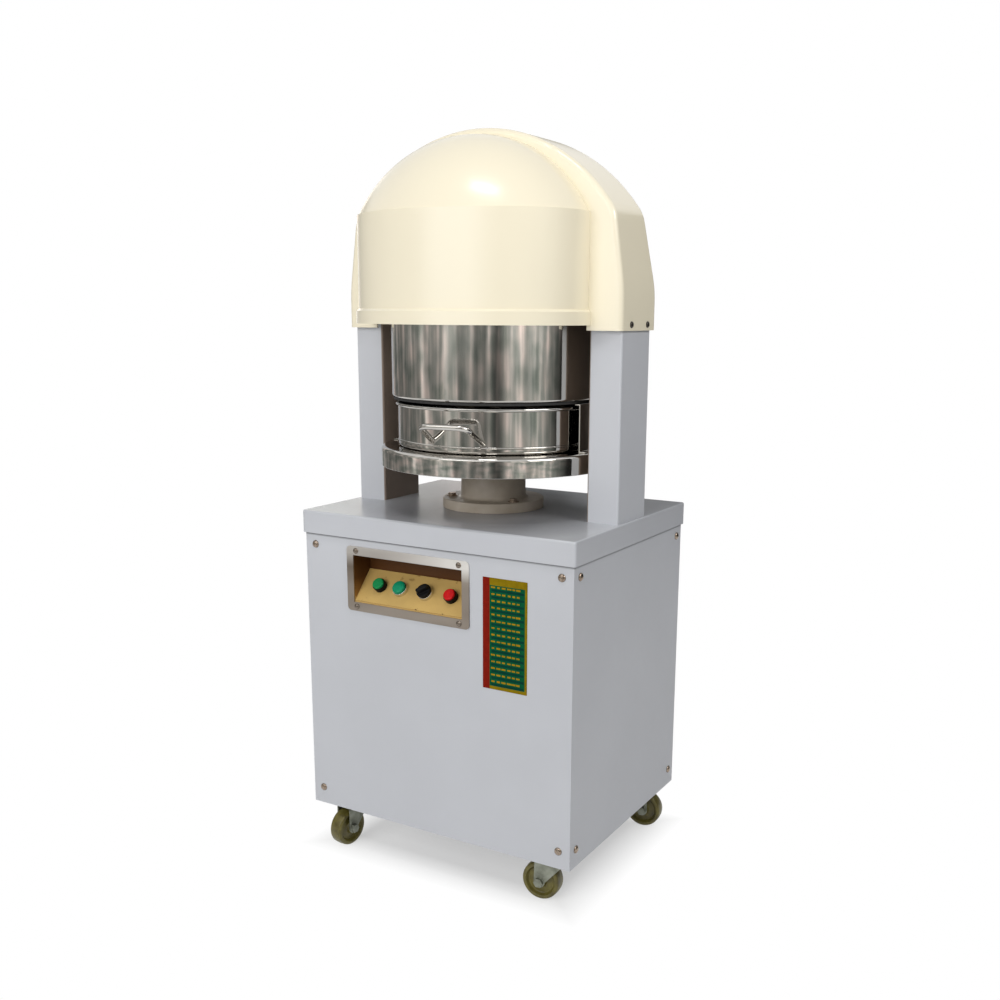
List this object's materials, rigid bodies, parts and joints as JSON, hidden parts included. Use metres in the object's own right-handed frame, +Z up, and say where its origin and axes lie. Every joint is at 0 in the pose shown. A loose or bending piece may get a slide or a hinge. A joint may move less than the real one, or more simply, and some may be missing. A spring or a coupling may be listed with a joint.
{
  "type": "dough divider",
  "caption": "Floor-standing electric dough divider on swivel casters, with a sheet cabinet, a domed hood, a press head that lowers a knife grid into a round pan, and a sunken control panel.",
  "frame": {"origin": "on the floor under the centre of the worktop", "axes": "+Z up, -Y towards the operator, +X to the operator's right"},
  "size_m": [0.606, 0.534, 1.4],
  "materials": {
    "cabinet_paint": "satin light grey-blue paint",
    "hood_cream": "gloss cream moulding",
    "mirror_steel": "mirror-polished stainless steel",
    "satin_steel": "brushed stainless steel",
    "frame_paint": "grey primer",
    "dark_screw": "dark dome heads",
    "gold_paint": "gold-beige paint",
    "black_plastic": "black",
    "green_plastic": "green cap",
    "teal_plastic": "teal lens",
    "red_plastic": "red cap",
    "ring_chrome": "chrome plating",
    "chart_print": "printed plate",
    "black_rubber": "black rubber",
    "cast_grey": "painted casting",
    "wheel_olive": "olive wheel",
    "zinc_steel": "zinc-plated steel",
    "press_white": "food-grade white plastic",
    "bush_bronze": "bronze",
    "motor_paint": "motor paint"
  },
  "bodies": {
    "base": {"base_frame": "frame_paint", "base_plate": "frame_paint", "front_panel": "cabinet_paint", "rear_panel": "cabinet_paint", "left_panel": "cabinet_paint", "right_panel": "cabinet_paint", "panel_screws": "dark_screw", "worktop": "cabinet_paint", "control_box": "gold_paint", "control_bezel": "satin_steel", "bezel_screws": "satin_steel", "button_plate": "gold_paint", "switch_bodies": "black_plastic", "chrome_rings": "ring_chrome", "weight_chart": "chart_print", "left_post": "cabinet_paint", "right_post": "cabinet_paint", "head_plate": "frame_paint", "drum": "mirror_steel", "head_bolts": "zinc_steel", "drum_seal": "black_rubber", "hood": "hood_cream", "hood_screws": "dark_screw", "guide_bushes": "bush_bronze", "pedestal": "cast_grey", "pedestal_bolts": "zinc_steel", "tray": "mirror_steel", "guide_rails": "satin_steel", "drive_bridge": "frame_paint", "drive_belt": "black_rubber", "motor": "motor_paint", "contactor_box": "black_plastic", "cable_gland": "black_plastic", "caster_plates": "zinc_steel", "caster_bolts": "zinc_steel"},
    "press_head": {"press_beam": "frame_paint", "crosshead": "frame_paint", "lift_rods": "satin_steel", "lead_screw": "satin_steel", "knife_carrier": "satin_steel", "knife_grid": "satin_steel"},
    "press_plate": {"press_disc": "satin_steel", "press_segments": "press_white", "guide_pins": "satin_steel"},
    "nut_drive": {"nut_pulley": "satin_steel"},
    "motor_drive": {"motor_pulley": "satin_steel"},
    "pan": {"dough_pan": "mirror_steel", "pan_handle": "mirror_steel"},
    "green_switch": {"green_button": "green_plastic"},
    "lamp_switch": {"lamp_button": "teal_plastic"},
    "red_switch": {"red_button": "red_plastic"},
    "selector": {"selector_knob": "black_plastic"},
    "front_left_swivel": {"front_left_fork": "zinc_steel"},
    "front_left_roller": {"front_left_wheel": "wheel_olive"},
    "front_right_swivel": {"front_right_fork": "zinc_steel"},
    "front_right_roller": {"front_right_wheel": "wheel_olive"},
    "rear_left_swivel": {"rear_left_fork": "zinc_steel"},
    "rear_left_roller": {"rear_left_wheel": "wheel_olive"},
    "rear_right_swivel": {"rear_right_fork": "zinc_steel"},
    "rear_right_roller": {"rear_right_wheel": "wheel_olive"}
  },
  "joints": [
    {"name": "press_lower", "type": "slide", "parent": "base", "child": "press_head", "axis": [0, 0, -1], "range_m": [0, 0.0952]},
    {"name": "plate_float", "type": "slide", "parent": "press_head", "child": "press_plate", "axis": [0, 0, 1], "range_m": [0, 0.037]},
    {"name": "nut_turn", "type": "hinge", "parent": "base", "child": "nut_drive", "pos_m": [0, 0, 0.372], "axis": [0, 0, 1], "range_deg": [0, 860]},
    {"name": "motor_turn", "type": "hinge", "parent": "base", "child": "motor_drive", "pos_m": [0.15, 0, 0.372], "axis": [0, 0, 1], "range_deg": [0, 2100]},
    {"name": "pan_slide", "type": "slide", "parent": "base", "child": "pan", "axis": [0, -1, 0], "range_m": [0, 0.45]},
    {"name": "green_press", "type": "slide", "parent": "base", "child": "green_switch", "axis": [0, 0.7452, -0.6668], "range_m": [0, 0.004], "stiffness_N_per_m": 300, "springref_m": -0.004},
    {"name": "lamp_press", "type": "slide", "parent": "base", "child": "lamp_switch", "axis": [0, 0.7452, -0.6668], "range_m": [0, 0.004], "stiffness_N_per_m": 300, "springref_m": -0.004},
    {"name": "red_press", "type": "slide", "parent": "base", "child": "red_switch", "axis": [0, 0.7452, -0.6668], "range_m": [0, 0.004], "stiffness_N_per_m": 300, "springref_m": -0.004},
    {"name": "selector_turn", "type": "hinge", "parent": "base", "child": "selector", "pos_m": [-0.028, -0.2099, 0.5585], "axis": [0, -0.7452, 0.6668], "range_deg": [-45, 45]},
    {"name": "front_left_turn", "type": "hinge", "parent": "base", "child": "front_left_swivel", "pos_m": [-0.235, -0.188, 0.085], "axis": [0, 0, 1], "continuous": true},
    {"name": "front_left_roll", "type": "hinge", "parent": "front_left_swivel", "child": "front_left_roller", "pos_m": [-0.23699, -0.2069, 0.0375], "axis": [-0.9945, 0.1045, 0], "continuous": true},
    {"name": "front_right_turn", "type": "hinge", "parent": "base", "child": "front_right_swivel", "pos_m": [0.235, -0.188, 0.085], "axis": [0, 0, 1], "continuous": true},
    {"name": "front_right_roll", "type": "hinge", "parent": "front_right_swivel", "child": "front_right_roller", "pos_m": [0.21607, -0.18966, 0.0375], "axis": [-0.0872, 0.9962, 0], "continuous": true},
    {"name": "rear_left_turn", "type": "hinge", "parent": "base", "child": "rear_left_swivel", "pos_m": [-0.235, 0.188, 0.085], "axis": [0, 0, 1], "continuous": true},
    {"name": "rear_left_roll", "type": "hinge", "parent": "rear_left_swivel", "child": "rear_left_roller", "pos_m": [-0.25145, 0.1975, 0.0375], "axis": [0.5, 0.866, 0], "continuous": true},
    {"name": "rear_right_turn", "type": "hinge", "parent": "base", "child": "rear_right_swivel", "pos_m": [0.235, 0.188, 0.085], "axis": [0, 0, 1], "continuous": true},
    {"name": "rear_right_roll", "type": "hinge", "parent": "rear_right_swivel", "child": "rear_right_roller", "pos_m": [0.2539, 0.18999, 0.0375], "axis": [0.1045, -0.9945, 0], "continuous": true}
  ],
  "couplings": [
    {"joint": "nut_turn", "follows": "press_lower", "rad_per_m": 157.08},
    {"joint": "motor_turn", "follows": "press_lower", "rad_per_m": 383.64}
  ]
}
